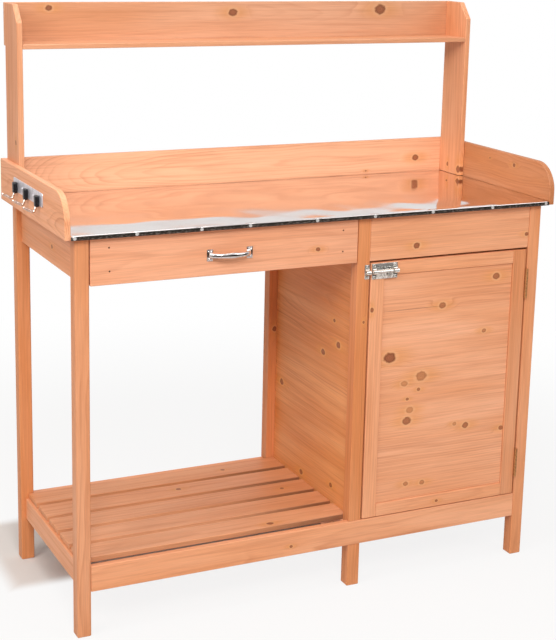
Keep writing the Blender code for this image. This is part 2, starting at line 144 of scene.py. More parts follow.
knotLook = {
    "ragged": 0.65,  # how far the outline strays, in knot radii
    "inward": 0.32,  # the part of it that is inward
    "raggedScale": 150.0,  # waves in a metre
    "length": 0.82,  # below 1 the knot is longer along the grain
    "haloLength": 0.4,  # the same for its halo and for the grain that runs round it
    "rings": 17.0,  # the turn of the inner rings, in radians to a knot radius
    "strength": 0.95,
}


def makeGrainGroup():
    # Rings round a pith that lies off the board, bent a little on their way along it
    group, given, end, add = newGroup(
        "fir rings",
        [("Place", "Vector", None), ("Pith", "Vector", None), ("Lean", "Float", 0.02), ("Push", "Float", 0.0),
         ("Ring width", "Float", firLook["ringWidth"] * mm), ("Wander", "Float", 0.026),
         ("Dip", "Float", 0.0), ("Dip from", "Float", 0.0)],
        ["Line", "Streak", "Cloud", "Fibre", "Wide"])

    def stretched(across, along, detail):
        # Noise drawn out along the grain, in waves to a metre
        moved = add("VectorMath MULTIPLY", given["Place"], (across, across, along))
        return add("TexNoise", {"Vector": moved, "Scale": 1.0, "Detail": detail})

    def centred(noise):
        return add("VectorMath SUBTRACT", noise.outputs["Color"], (0.5, 0.5, 0.5))

    level = add("VectorMath MULTIPLY", centred(stretched(9, 1.9, 2.0)), (1, 1, 0))
    wandered = add("VectorMath SCALE", {0: level, "Scale": given["Wander"]})
    shiver = firLook["shiver"] * mm
    shaken = add("VectorMath MULTIPLY", centred(stretched(60, 7, 1.0)), (shiver, shiver, 0))
    bent = add("VectorMath ADD", given["Place"], wandered)
    bent = add("VectorMath ADD", bent, shaken)
    fromPith = add("VectorMath SUBTRACT", bent, given["Pith"])
    apart = add("SeparateXYZ", fromPith)
    leaned = add("Math MULTIPLY", apart.outputs["Z"], given["Lean"])
    # Where the grain dips steeply at one end, the saw cuts a nest of arches
    along = add("Math SUBTRACT", given["Dip from"], apart.outputs["Z"])
    eased = add("Math DIVIDE", along, firLook["dipReach"])
    faded = add("Math EXPONENT", eased)
    dipped = add("Math MULTIPLY_ADD", faded, given["Dip"], leaned)
    through = add("Math ADD", apart.outputs["Y"], dipped)
    flat = add("CombineXYZ", {"X": apart.outputs["X"], "Y": through})
    radius = add("VectorMath LENGTH", flat)
    turns = add("Math DIVIDE", radius, given["Ring width"])
    pushed = add("Math ADD", turns, given["Push"])
    ring = add("Math FRACT", pushed)
    line = add("ValToRGB", ring)
    stops = line.color_ramp.elements
    while len(stops) < len(firLook["ringShape"]):
        stops.new(0.5)
    for stop, (place, dark) in zip(stops, firLook["ringShape"]):
        stop.position = place
        stop.color = (dark, dark, dark, 1)
    # Some rings are strong and some hardly show
    ringNumber = add("Math MULTIPLY", pushed, 0.37)
    strength = add("TexNoise 1D", {"W": ringNumber, "Scale": 1.0, "Detail": 1.0})
    strong = add("MapRange", strength, 0.36, 0.68, 0.15, 1.0)
    lined = add("Math MULTIPLY", line, strong)
    fibre = stretched(1000 / firLook["fibreWidth"] * 0.7, 16, 2.0)
    streak = stretched(1000 / firLook["streakWidth"] * 0.7, 3.2, 3.0)
    cloud = stretched(1000 / firLook["cloudSize"], 2.2, 2.0)
    wide = stretched(16.0, 3.0, 1.0)
    plug(end, {"Line": lined, "Streak": streak, "Cloud": cloud, "Fibre": fibre, "Wide": wide})
    return group


knotMarks = ["Core", "Rim", "Halo", "Collar", "Push"]


def makeKnotGroup():
    # A branch cut across: a dark rim, rings inside it, and grain pushed aside around it
    group, given, end, add = newGroup(
        "fir knot",
        [("Place", "Vector", None), ("Centre", "Vector", None), ("Radius", "Float", 0.006),
         ("Strength", "Float", 1.0)] + [(mark, "Float", 0.0) for mark in knotMarks], knotMarks)
    away = add("VectorMath SUBTRACT", given["Place"], given["Centre"])
    ragged = add("TexNoise", {"Vector": given["Place"], "Scale": knotLook["raggedScale"], "Detail": 2.0})

    def fromCentre(length):
        # How far from the centre, in knot radii
        flat = add("VectorMath MULTIPLY", away, (1, 0, length))
        far = add("VectorMath LENGTH", flat)
        return add("Math DIVIDE", far, given["Radius"])

    share = fromCentre(knotLook["length"])
    wobble = add("Math MULTIPLY_ADD", ragged, knotLook["ragged"], -knotLook["inward"])
    size = add("Math ADD", share, wobble)
    core = add("MapRange SMOOTHSTEP", size, 0.65, 1.25, 1.0, 0.0)
    rim = add("MapRange SMOOTHSTEP", size, 0.5, 0.9, 0.0, 1.0)
    longShare = fromCentre(knotLook["haloLength"])
    halo = add("MapRange SMOOTHSTEP", longShare, 0.5, 3.0, 0.62, 0.0)
    push = add("MapRange SMOOTHERSTEP", longShare, 0.6, 3.4, 1.3, 0.0)
    grown = add("MapRange SMOOTHSTEP", size, 1.0, 1.2, 0.0, 1.0)
    gone = add("MapRange SMOOTHSTEP", size, 1.15, 2.0, 0.3, 0.0)
    collar = add("Math MULTIPLY", grown, gone)
    turns = add("Math MULTIPLY", size, knotLook["rings"])
    wave = add("Math SINE", turns)
    inner = add("MapRange", wave, -1.0, 1.0, 0.0, 0.4)
    ringed = add("Math MAXIMUM", inner, rim)
    rimmed = add("Math MULTIPLY", core, ringed)
    # A faint knot was cut near its end, so it shows little more than its resin
    core = add("Math MULTIPLY", core, given["Strength"])
    rimmed = add("Math MULTIPLY", rimmed, given["Strength"])
    # Each knot hands on what the knots before it left
    for mark, own in zip(knotMarks, (core, rimmed, halo, collar)):
        plug(end, {mark: add("Math MAXIMUM", own, given[mark])})
    plug(end, {"Push": add("Math ADD", push, given["Push"])})
    return group


grainGroup = makeGrainGroup()
knotGroup = makeKnotGroup()

# What a board is cut like. "flat" shows arches, "rift" straight lines; grain is X, Y or Z along the bench.
# Knots are (first, second, radius, and strength if not the usual) in mm on the board's face, from the bench's
# middle, the front and the floor. Checks are cracks: (from, to, level), in mm too. Wander and dip are in metres.
flat, rift = partial(dict, cut="flat"), partial(dict, cut="rift")
# The factor that darkens a board's whole colour is partly its stain and partly painted shade, where the board sits
# in shade in the bench
boardLooks = {
    "door_panel": rift(
        grain="X", tint=0.4, lines=0.8, hue=(1.0, 1.02, 1.07), checks=[(146, 284, 617)],
        knots=[(430, 672, 7, 0.8), (294, 618, 6.5, 0.7), (405, 550, 4.5, 0.6), (167, 513, 11, 1.0),
               (248, 463, 10, 0.5), (206, 450, 6, 0.35), (243, 433, 3.5, 0.8), (215, 414, 3, 0.8),
               (222, 388, 7, 0.35), (216, 364, 8, 0.8), (369, 334, 6.5, 0.8), (340, 341, 4, 0.4),
               (465, 315, 5, 0.8), (220, 217, 5, 0.5), (262, 214, 5, 0.5)]),
    "door_stile_left": rift(tint=0.5, knots=[(117, 625, 4)]),
    "door_stile_right": rift(tint=0.6, depth=0.93, hue=(1.0, 1.01, 1.03), knots=[]),
    "door_rail_top": rift(tint=0.5, knots=[]),
    "door_rail_bottom": flat(tint=0.5, knots=[(300, 166, 3)]),
    "cabinet_side_left": flat(
        grain="Y", tint=0.75, depth=0.97, hue=(1.07, 1.06, 0.8), wander=0.045, lines=1.2,
        knots=[(115, 575, 4), (93, 525, 7), (164, 490, 6.5), (370, 359, 7), (256, 173, 6), (109, 195, 5)]),
    "apron_front_right": flat(tint=0.45, hue=(0.99, 1.03, 1.1), lines=0.7,
                              knots=[(221, 757, 6), (503, 762, 4)]),
    "apron_left": rift(tint=0.55, knots=[(183, 773, 4)]),
    "drawer_front": flat(tint=0.2, depth=0.96, hue=(0.98, 0.96, 1.0), lines=0.8, knots=[(-16, 767, 4)]),
    "leg_front_left": rift(tint=0.6, depth=0.9,
                           knots=[(-517, 682, 3), (-515, 648, 3), (-525, 84, 4), (-534, 66, 2.5)]),
    "leg_front_right": rift(tint=0.7, knots=[(528, 663, 4), (527, 46, 3.5), (529, 199, 2.5)]),
    "post_front_middle": rift(tint=0.8, depth=0.93, hue=(1.02, 0.98, 0.88), knots=[(98, 600, 2.5)]),
    "post_rear_middle": rift(tint=0.85, knots=[(84, 480, 5)]),
    "leg_rear_left": rift(tint=0.85, depth=0.92, hue=(1.02, 1.0, 0.92), knots=[]),
    "upright_left": flat(tint=0.4, depth=0.84, knots=[(360, 960, 4)]),
    "upright_right": flat(tint=0.45, depth=0.9, lines=1.3, knots=[(344, 850, 7), (392, 856, 4)]),
    "back_board": flat(tint=-0.2, depth=0.91, ringWidth=4.2, dip=0.065, wander=0.02, lines=1.1,
                       knots=[(467, 869, 7), (330, 843, 2)]),
    "shelf_back_board": flat(tint=0.4, depth=0.82, hue=(0.96, 1.05, 1.14), lines=0.7,
                             knots=[(-452, 1234, 6), (-25, 1222, 8), (353, 1227, 11)]),
    "side_board_left": flat(tint=0.35, depth=0.98, ringWidth=4.5, wander=0.07, lines=1.7, knots=[]),
    "side_board_right": flat(tint=0.75, depth=0.73, ringWidth=4.5, wander=0.07, lines=2.0,
                             knots=[(129, 893, 4), (228, 895, 2)]),
    "shelf_board": rift(tint=0.35, depth=0.78, knots=[]),
    "rail_bottom_front": flat(tint=0.4, knots=[(-60, 118, 3)]),
    "rail_bottom_left": rift(tint=0.4, knots=[]),
    "slat_1": rift(tint=0.5, depth=0.84, hue=(1.0, 0.98, 0.9), knots=[(-60, 372, 4)]),
    "slat_2": flat(tint=0.4, depth=0.85, hue=(1.0, 0.98, 0.92), knots=[(-200, 300, 5)]),
    "slat_3": rift(tint=0.45, depth=0.86, hue=(1.0, 0.98, 0.92), knots=[(20, 215, 4)]),
    "slat_4": flat(tint=0.35, depth=0.88, hue=(1.0, 0.98, 0.92), knots=[]),
    "slat_5": flat(tint=0.3, depth=0.88, hue=(1.0, 0.98, 0.92), knots=[(-90, 44, 6)]),
    "drawer_bottom": rift(grain="X", tint=0.2, knots=[(-300, 150, 4)]),
    "cabinet_back": flat(grain="X", tint=0.4),
    "cabinet_side_right": flat(grain="Y", tint=0.4),
    "cabinet_floor": flat(grain="X", tint=0.3),
    "tabletop_board": flat(grain="X", tint=0.6),
}


def fillKnots(box, face, rng):
    # Hidden boards get a few knots where chance puts them
    places = []
    for turn in range(rng.choice((1, 2, 3))):
        pair = [(rng.uniform(box[0][i] + 0.008, box[1][i] - 0.008) - benchMiddle[i]) / mm for i in face]
        places.append((*pair, rng.uniform(2.5, 6.5)))
    return places


def makeStainedFir(name):
    # Stained fir, planed: pale spring wood, rust brown ring lines, knots; satin, with the grain just felt
    look = boardLooks.get(name, {})
    rng = random.Random("fir " + name)
    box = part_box(name)
    sizes = [high - low for low, high in zip(*box)]
    along = "XYZ".index(look["grain"]) if "grain" in look else sizes.index(max(sizes))
    across, through = sorted((i for i in range(3) if i != along), key=lambda i: -sizes[i])
    face = sorted((along, across))
    centre = [(low + high) / 2 for low, high in zip(*box)]
    material, shader, add = newMaterial("stained_fir_" + name)
    place = add("TexCoord")
    local = add("VectorMath SUBTRACT", place.outputs["Object"], centre)
    parts = add("SeparateXYZ", local)
    turned = add("CombineXYZ", {i: parts.outputs[axis] for i, axis in enumerate((across, through, along))})
    # Each board comes from its own stretch of the tree
    shift = Vector((rng.uniform(-4, 4), rng.uniform(-4, 4), rng.uniform(-9, 9)))
    fromTree = add("VectorMath ADD", turned, shift)
    if look.get("cut", rng.choice(("flat", "rift"))) == "flat":
        pith = Vector((rng.uniform(-0.3, 0.3) * sizes[across], rng.choice((-1, 1)) * rng.uniform(0.05, 0.09), 0))
        lean = rng.choice((-1, 1)) * rng.uniform(0.015, 0.035)
    else:
        pith = Vector((rng.choice((-1, 1)) * rng.uniform(0.12, 0.2), rng.uniform(0.03, 0.09), 0))
        lean = rng.uniform(-0.01, 0.01)
    if "dip" in look:
        pith, lean = Vector((0.004, -0.034, 0)), 0.0

    def fromCentre(axis, level):
        # A measure along the bench, in mm, told from the board's own middle
        return benchMiddle[axis] + level * mm - centre[axis]

    marks = {mark: 0.0 for mark in knotMarks}
    for first, second, radius, *strength in look.get("knots", fillKnots(box, face, rng)):
        spot = dict(zip(face, (first, second)))
        middle = Vector((fromCentre(across, spot[across]), 0, fromCentre(along, spot[along])))
        knot = add("Group", {"Place": turned, "Centre": middle, "Radius": radius * mm,
                             "Strength": strength[0] if strength else knotLook["strength"], **marks},
                   node_tree=knotGroup)
        marks = {mark: knot.outputs[mark] for mark in marks}
    ringWidth = look.get("ringWidth", firLook["ringWidth"] * rng.uniform(0.8, 1.25)) * mm
    grain = add("Group", {"Place": fromTree, "Pith": shift + pith, "Lean": lean, "Push": marks["Push"],
                          "Ring width": ringWidth, "Wander": look.get("wander", 0.03),
                          "Dip": look.get("dip", 0.0), "Dip from": -sizes[along] / 2}, node_tree=grainGroup)
    given = grain.outputs
    tint = look.get("tint", rng.uniform(0.2, 0.6))
    tone = add("MapRange", given["Cloud"], 0.3, 0.7, tint - 0.25, tint + 0.35)
    shade = add("Mix RGBA", {0: tone, 6: lin(firLook["early"]), 7: lin(firLook["warm"])})
    streaked = add("MapRange", given["Streak"], 0.5, 0.78, 0.0, 0.42)
    shade = add("Mix RGBA", {0: streaked, 6: shade, 7: lin(firLook["late"])})
    # In wide patches the ring lines nearly fade out, and between them they come up strongly
    level = look.get("lines", 1.0) * firLook["lineStrength"]
    patch = add("MapRange", given["Wide"], 0.38, 0.62, 0.3 * level, 1.5 * level)
    lineShare = add("Math MULTIPLY", given["Line"], patch)
    layers = [(lineShare, "late"), (marks["Halo"], "halo"), (marks["Collar"], "knotRing"),
              (marks["Core"], "knot"), (marks["Rim"], "knotEdge")]
    for share, colour in layers:
        shade = add("Mix RGBA", {0: share, 6: shade, 7: lin(firLook[colour])})
    for first, last, level in look.get("checks", []):
        # A drying crack along the grain, a hair wide
        faded = []
        for axis, low, high in ((along, first, last), (across, level - 0.45, level + 0.45)):
            start, end = fromCentre(axis, low), fromCentre(axis, high)
            half = (end - start) / 2
            off = add("Math SUBTRACT", parts.outputs[axis], (start + end) / 2)
            if axis == across:
                bend = add("Math MULTIPLY_ADD", given["Cloud"], 0.006, -0.003)
                off = add("Math ADD", off, bend)
            far = add("Math ABSOLUTE", off)
            faded.append(add("MapRange", far, half * 0.6, half * 1.3, 1.0, 0.0))
        inside = add("Math MULTIPLY", faded[0], faded[1])
        faint = add("Math MULTIPLY", inside, 0.75)
        shade = add("Mix RGBA", {0: faint, 6: shade, 7: lin(firLook["knotEdge"])})
    # Each board's colour is scaled by its own factor: partly its stain, partly painted shade for boards that sit in
    # shade, such as the right side board, the shelves and the slats
    depth = look.get("depth", 1.0)
    fine = add("MapRange", given["Fibre"], 0.3, 0.7, 0.91 * depth, 1.07 * depth)
    hue = add("VectorMath MULTIPLY", shade, look.get("hue", (1, 1, 1)))
    shade = add("VectorMath SCALE", {0: hue, "Scale": fine})
    if name.startswith("slat_"):
        # Painted shade: the slats' sawn side faces are darkened towards the cupboard, standing in for the shade that
        # falls in the gaps there
        facing = add("SeparateXYZ", place.outputs["Normal"])
        side = add("Math ABSOLUTE", facing.outputs["Y"])
        toward = add("MapRange SMOOTHSTEP", parts.outputs["X"], 0.0, 0.3, 0.0, 0.6)
        dark = add("Math MULTIPLY", side, toward)
        shade = add("Mix RGBA", {0: dark, 6: shade, 7: lin(firLook["slatGapShade"])})
    matt = firLook["roughness"]
    gloss = add("MapRange", given["Streak"], 0.3, 0.7, matt - 0.05, matt + 0.1)
    height = add("Math MULTIPLY_ADD", given["Line"], 0.6, given["Fibre"])
    bump = add("Bump", {"Height": height, "Strength": firLook["bump"], "Distance": firLook["bumpHeight"] * mm})
    plug(shader, {"Base Color": shade, "Roughness": gloss, "Normal": bump})
    return material


def dressNode(name, material):
    mesh = frame["nodes"][name].data
    mesh.materials.clear()
    mesh.materials.append(material)


slots = {part["node"]: part["material_slot"] for part in frame["record"]["subparts"]}
for name, node in frame["nodes"].items():
    if slots[name] == "fir":
        dressNode(name, makeStainedFir(name))
        worn = node.modifiers.new("sanded_edges", "BEVEL")
        worn.width = firLook["edgeRadius"] * mm
        worn.segments = 2
        worn.angle_limit = math.radians(40)
print("boards stained")

# ---- metals and plastic ----


def newMetal(name, colour, roughness, metallic=1.0):
    material, shader, add = newMaterial(name)
    plug(shader, {"Metallic": metallic, "Base Color": lin(colour), "Roughness": roughness})
    return material, shader, add, add("TexCoord").outputs["Object"]


sheetLook = {
    "pale": "#EEE6E3",
    "dull": "#DDD5D2",
    "roughness": 0.035,
    "rollSpacing": 6,  # mm
    "smudge": 90,  # mm
    "dish": 210,  # mm across
    "dishDepth": 6,  # mm, deeper than in real sheet, so that the mirrored edges bend
    "flakes": 220.0,  # in a metre, coarser than real spangle so that it shows
}


def makeGalvanisedSheet():
    # Galvanised sheet steel, cold rolled: nearly a mirror, with faint rolling lines and dull smudges
    rough = sheetLook["roughness"]
    material, shader, add, place = newMetal("galvanised_sheet_rolled", sheetLook["pale"], rough)
    rolled = add("VectorMath MULTIPLY", place, (4, 1000 / sheetLook["rollSpacing"], 4))
    lines = add("TexNoise", {"Vector": rolled, "Scale": 1.0, "Detail": 3.0})
    smudge = add("TexNoise", {"Vector": place, "Scale": 1000 / sheetLook["smudge"], "Detail": 3.0})
    specks = add("TexVoronoi", {"Vector": place, "Scale": sheetLook["flakes"]})
    dull = add("MapRange", smudge, 0.4, 0.75, 0.0, 0.7)
    colour = add("Mix RGBA", {0: dull, 6: lin(sheetLook["pale"]), 7: lin(sheetLook["dull"])})
    flake = add("MapRange", specks.outputs["Color"], 0.0, 1.0, 0.97, 1.0)
    flaked = add("VectorMath SCALE", {0: colour, "Scale": flake})
    blurred = add("MapRange", smudge, 0.35, 0.8, rough, rough + 0.1)
    # Thin sheet never lies quite flat: wide dishes bend what it mirrors
    dishes = add("TexNoise", {"Vector": place, "Scale": 1000 / sheetLook["dish"], "Detail": 1.0})
    bent = add("Bump", {"Height": dishes, "Strength": 1.0, "Distance": sheetLook["dishDepth"] * mm})
    bump = add("Bump", {"Height": lines, "Strength": 0.04, "Distance": 0.0005, "Normal": bent})
    plug(shader, {"Base Color": flaked, "Roughness": blurred, "Normal": bump})
    return material


# Painted reflection: the lip's dark colour and its brighter patches
lipReflectionLook = {"dark": "#4F4943", "bright": "#A39C94", "patch": 5, "roughness": 0.4}


def makeFoldedEdgeReflection():
    # The same sheet where it was folded and nailed: its colour darkened as painted reflection of the dark room in
    # front, with brighter patches as painted highlights along the wavy lip
    material, shader, add, place = newMetal("galvanised_sheet_folded_painted_reflection", lipReflectionLook["dark"], lipReflectionLook["roughness"])
    long = add("VectorMath MULTIPLY", place, (1000 / lipReflectionLook["patch"], 80, 420))
    patches = add("TexNoise", {"Vector": long, "Scale": 1.0, "Detail": 3.0})
    share = add("MapRange", patches, 0.48, 0.7, 0.0, 0.8)
    colour = add("Mix RGBA", {0: share, 6: lin(lipReflectionLook["dark"]), 7: lin(lipReflectionLook["bright"])})
    bump = add("Bump", {"Height": patches, "Strength": 0.3, "Distance": 0.001})
    plug(shader, {"Base Color": colour, "Normal": bump})
    return material


def makePlated(name, colour, dullColour, roughness, spotSize, metallic):
    # Plated steel: bright, with clouded spots where the plating is thin or fingers have been
    material, shader, add, place = newMetal(name, colour, roughness, metallic)
    cloud = add("TexNoise", {"Vector": place, "Scale": 1000 / spotSize, "Detail": 3.0})
    share = add("MapRange", cloud, 0.45, 0.75, 0.0, 0.8)
    mixed = add("Mix RGBA", {0: share, 6: lin(colour), 7: lin(dullColour)})
    rough = add("MapRange", cloud, 0.3, 0.75, roughness, roughness + 0.12)
    bump = add("Bump", {"Height": cloud, "Strength": 0.08, "Distance": 0.0004})
    plug(shader, {"Base Color": mixed, "Roughness": rough, "Normal": bump})
    return material


nylonLook = {"deep": "#08090C", "pale": "#14151A", "ior": 1.53, "peel": 900.0, "roughness": (0.22, 0.34)}


def makeMouldedNylon():
    # Black nylon, moulded: deep black with a soft gloss and a faint orange peel
    material, shader, add = newMaterial("black_nylon_moulded")
    shader.inputs["IOR"].default_value = nylonLook["ior"]
    place = add("TexCoord")
    peel = add("TexNoise", {"Vector": place.outputs["Object"], "Scale": nylonLook["peel"], "Detail": 2.0})
    colour = add("Mix RGBA", {0: peel, 6: lin(nylonLook["deep"]), 7: lin(nylonLook["pale"])})
    smooth, rough = nylonLook["roughness"]
    gloss = add("MapRange", peel, 0.3, 0.7, smooth, rough)
    bump = add("Bump", {"Height": peel, "Strength": 0.1, "Distance": 0.0003})
    plug(shader, {"Base Color": colour, "Roughness": gloss, "Normal": bump})
    return material


platedLooks = {
    # colour, colour of the dull spots, roughness, size of the spots in mm, metallic
    # Polished before plating: a clean mirror
    "chrome_plated_steel": ("#E9E5E4", "#BDB2A8", 0.08, 4, 1.0),
    # A brassy flash over rolled leaves: yellow brown and satin
    "brassed_hinge_steel": ("#D39A66", "#8A5A38", 0.42, 5, 0.8),
    "bright_steel_nail": ("#F2F0EE", "#D5D0CA", 0.3, 2, 0.6),
    # A clear zinc coat over steel scatters a good part of the light, so it looks paler than chrome
    "bright_zinc_bolt_steel": ("#F4F0EA", "#6F695B", 0.15, 3.6, 0.8),
    # Painted shadow: dark patches stand for the shaded inside of the punched slots, where hardly any light comes
    # back
    "painted_slot_shadow": ("#4A443C", "#2E2A24", 0.5, 2, 1.0),
    # Driven below the face and stained over with the wood
    "sunk_nail_steel": ("#5A3A2A", "#3B2418", 0.5, 2, 1.0),
    # Drawn wire keeps fine scratches under its plating, so it mirrors less sharply than the handle
    "plated_hook_wire": ("#E3CDBF", "#A48F82", 0.2, 6, 0.9),
    # Barrel plated sheet: pale grey, satin
    "zinc_plated_rack_steel": ("#E6E3E8", "#BDB8BC", 0.36, 9, 0.75),
}
plated = {name: makePlated(name, *look) for name, look in platedLooks.items()}
chrome = plated["chrome_plated_steel"]
boltZinc = plated["bright_zinc_bolt_steel"]
rackZinc = plated["zinc_plated_rack_steel"]
galvanised = makeGalvanisedSheet()
foldedEdgeReflection = makeFoldedEdgeReflection()
nylon = makeMouldedNylon()
print("metals made")

# ---- mesh helpers ----


def newObject(name, data):
    if isinstance(data, bmesh.types.BMesh):
        shape, data = data, bpy.data.meshes.new(name)
        shape.to_mesh(data)
        shape.free()
    made = bpy.data.objects.new(name, data)
    bpy.context.scene.collection.objects.link(made)
    return made


def newPiece(name, shape, material, body, smooth=40):
    made = newObject(name, shape)
    for each in material if isinstance(material, list) else [material]:
        made.data.materials.append(each)
    made.data.shade_smooth()
    made.data.set_sharp_from_angle(angle=math.radians(smooth))
    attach(made, body)
    return made


def addBlock(shape, low, high, edge=0.0, segments=2):
    # A block between two corners, with its edges rounded by edge
    low, high = Vector(low), Vector(high)
    place = Matrix.Translation((low + high) / 2) @ Matrix.Diagonal((*(high - low), 1))
    grown = bmesh.ops.create_cube(shape, size=1.0, matrix=place)
    if edge:
        edges = dict.fromkeys(e for v in grown["verts"] for e in v.link_edges)
        bmesh.ops.bevel(shape, geom=list(edges), offset=edge, segments=segments, affect="EDGES", profile=0.5)


def joinRings(shape, rings):
    # Rings of points are skinned one to the next, and both ends are closed
    made = [[shape.verts.new(point) for point in ring] for ring in rings]
    for one, two in zip(made, made[1:]):
        for i in range(len(one)):
            j = (i + 1) % len(one)
            shape.faces.new((one[i], one[j], two[j], two[i]))
    shape.faces.new(list(reversed(made[0])))
    shape.faces.new(made[-1])


def oval(middle, one, two, steps):
    turns = [2 * math.pi * i / steps for i in range(steps)]
    return [middle + one * math.cos(turn) + two * math.sin(turn) for turn in turns]


def squareTo(direction):
    side = direction.orthogonal().normalized()
    return side, direction.cross(side)


def addTurned(shape, profile, place, direction, steps=20):
    # A turned form: profile is (distance along the axis, radius) from its start
    direction = Vector(direction).normalized()
    side, other = squareTo(direction)
    joinRings(shape, [oval(Vector(place) + direction * far, side * radius, other * radius, steps)
                      for far, radius in profile])


def addDome(shape, place, direction, radius, rise, steps=14):
    # A nail or screw head: a low dome with a crisp rim
    profile = [(0, radius), (rise * 0.35, radius)]
    for turn in range(1, 5):
        angle = math.pi / 2 * turn / 5
        profile.append((rise * (0.35 + 0.65 * math.sin(angle)), radius * math.cos(angle) ** 0.7))
    addTurned(shape, profile, place, direction, steps)


def addScrew(shape, place, direction, radius, turn):
    # A pan head screw: two thin bars, a hair proud of its top, draw the cross of its recess
    direction = Vector(direction).normalized()
    rise = radius * 0.42
    addDome(shape, place, direction, radius, rise)
    side, other = squareTo(direction)
    for angle in (turn, turn + math.pi / 2):
        arm = side * math.cos(angle) + other * math.sin(angle)
        cross = direction.cross(arm)
        top = [Vector(place) + arm * a * radius * 0.55 + cross * c * radius * 0.13 + direction * rise * 1.02
               for a, c in ((-1, -1), (1, -1), (1, 1), (-1, 1))]
        joinRings(shape, [[corner - direction * rise * 0.5 for corner in top], top])


# ---- sheet metal worktop ----
sheetShape = {
    "wave": 0.3,  # mm, how far the sheet lifts and sinks, as thin sheet does on a board
    "grid": (168, 44),
    "thick": 0.4,  # mm
    "tuck": 0.28,  # mm, under the back board
    "fold": 1.3,  # mm, radius of the fold over the front edge
    "foldSteps": 5,
    "nails": [-540, -415, -280, -175, -25, 110, 250, 400, 540],  # mm from the middle
    "nailRadius": 4.1,
    "nailRise": 0.6,
    "nailDrop": 3.6,  # mm below the worktop, and a little more for the fold
    "dent": 0.9,  # mm, how far a nail pulls the fold in
    "dentWidth": 6,
}


def sheetSink(x, y):
    # Long shallow waves, deepest near the front where nothing holds the sheet down
    rise = (math.sin(x * 9.5 + 0.6) * math.cos(y * 8 + 0.4) + 0.7 * math.sin(x * 19 + y * 11 + 2.1)
            + 0.4 * math.sin(x * 34 - y * 5) + 0.35 * math.sin(y * 27 + x * 4))
    return sheetShape["wave"] * mm * (rise / 2.45 - 1) / 2


def buildSheet():
    low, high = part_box("tabletop_metal")
    fold = sheetShape["fold"] * mm
    lip = high[2] - low[2]
    columns, rows = sheetShape["grid"]
    shape = bmesh.new()
    xs = [low[0] + (high[0] - low[0]) * i / columns for i in range(columns + 1)]
    front, back = low[1] + fold, high[1] + sheetShape["tuck"] * mm
    grid = []
    for j in range(rows + 1):
        y = back + (front - back) * j / rows
        ease = min(1, (y - front) / 0.02) if j > rows - 3 else 1
        sinks = [sheetSink(x - benchMiddle.x, y - benchMiddle.y) * (0.25 + 0.75 * ease) for x in xs]
        grid.append([shape.verts.new((x, y, high[2] + sink)) for x, sink in zip(xs, sinks)])
    # The fold, and the lip below it, pulled in a little at each nail
    turns = [math.pi / 2 * (step + 1) / sheetShape["foldSteps"] for step in range(sheetShape["foldSteps"])]
    sections = [(fold * math.sin(turn), fold * (1 - math.cos(turn))) for turn in turns]
    sections += [(fold, lip * 0.55), (fold, lip)]
    nails = [benchMiddle.x + n * mm for n in sheetShape["nails"]]
    for out, down in sections:
        share = down / lip
        row = []
        for x, above in zip(xs, grid[rows]):
            near = min(abs(x - n) for n in nails) / (sheetShape["dentWidth"] * mm)
            pulled = sheetShape["dent"] * mm * math.exp(-near ** 2)
            drop = (above.co.z - high[2]) * (1 - share)
            inward = pulled * (0.3 + 0.7 * min(1, share / 0.4))
            z = high[2] + drop - down - pulled * 0.5 * (1 - share)
            row.append(shape.verts.new((x, front - out + inward, z)))
        grid.append(row)
    for one, two in zip(grid, grid[1:]):
        for i in range(columns):
            face = shape.faces.new((one[i], two[i], two[i + 1], one[i + 1]))
            face.material_index = 1 if one[i].co.z < high[2] - fold * 0.9 else 0
    made = newPiece("worktop_sheet", shape, [galvanised, foldedEdgeReflection], "bench", 70)
    thick = made.modifiers.new("sheet", "SOLIDIFY")
    thick.thickness = sheetShape["thick"] * mm
    thick.offset = -1
    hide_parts("tabletop_metal")
    heads = bmesh.new()
    for n in nails:
        x = max(low[0] + 0.004, min(high[0] - 0.004, n))
        place = (x, low[1] + 0.0009, high[2] - sheetShape["nailDrop"] * mm - fold * 0.3)
        addDome(heads, place, (0, -1, 0), sheetShape["nailRadius"] * mm, sheetShape["nailRise"] * mm)
    newPiece("worktop_edge_nails", heads, plated["bright_steel_nail"], "bench")


buildSheet()
print("worktop sheet folded and nailed")

# ---- drawer handle ----
handleShape = {
    "foot": (13, 2.8),  # mm, width and depth
    "footRim": 1.6,
    # Half height and half depth of the bar in mm: beside the feet, at its belly, and at its roots
    "neck": (4.7, 2.4),
    "middle": (6.1, 2.9),
    "end": (6.0, 3.2),
    "steps": 36,
    "petal": [(0, 0.5), (1.1, 1.3), (2.8, 1.7), (4.6, 1.2), (5.6, 0.4)],  # mm along and radius
    "petalStart": (0.8, 4.5),  # mm sideways and up from the bar's root
    "petalLean": 0.62,
    "bead": (9.5, 1.3, 1.2),  # mm up from the root, radius and rise
}


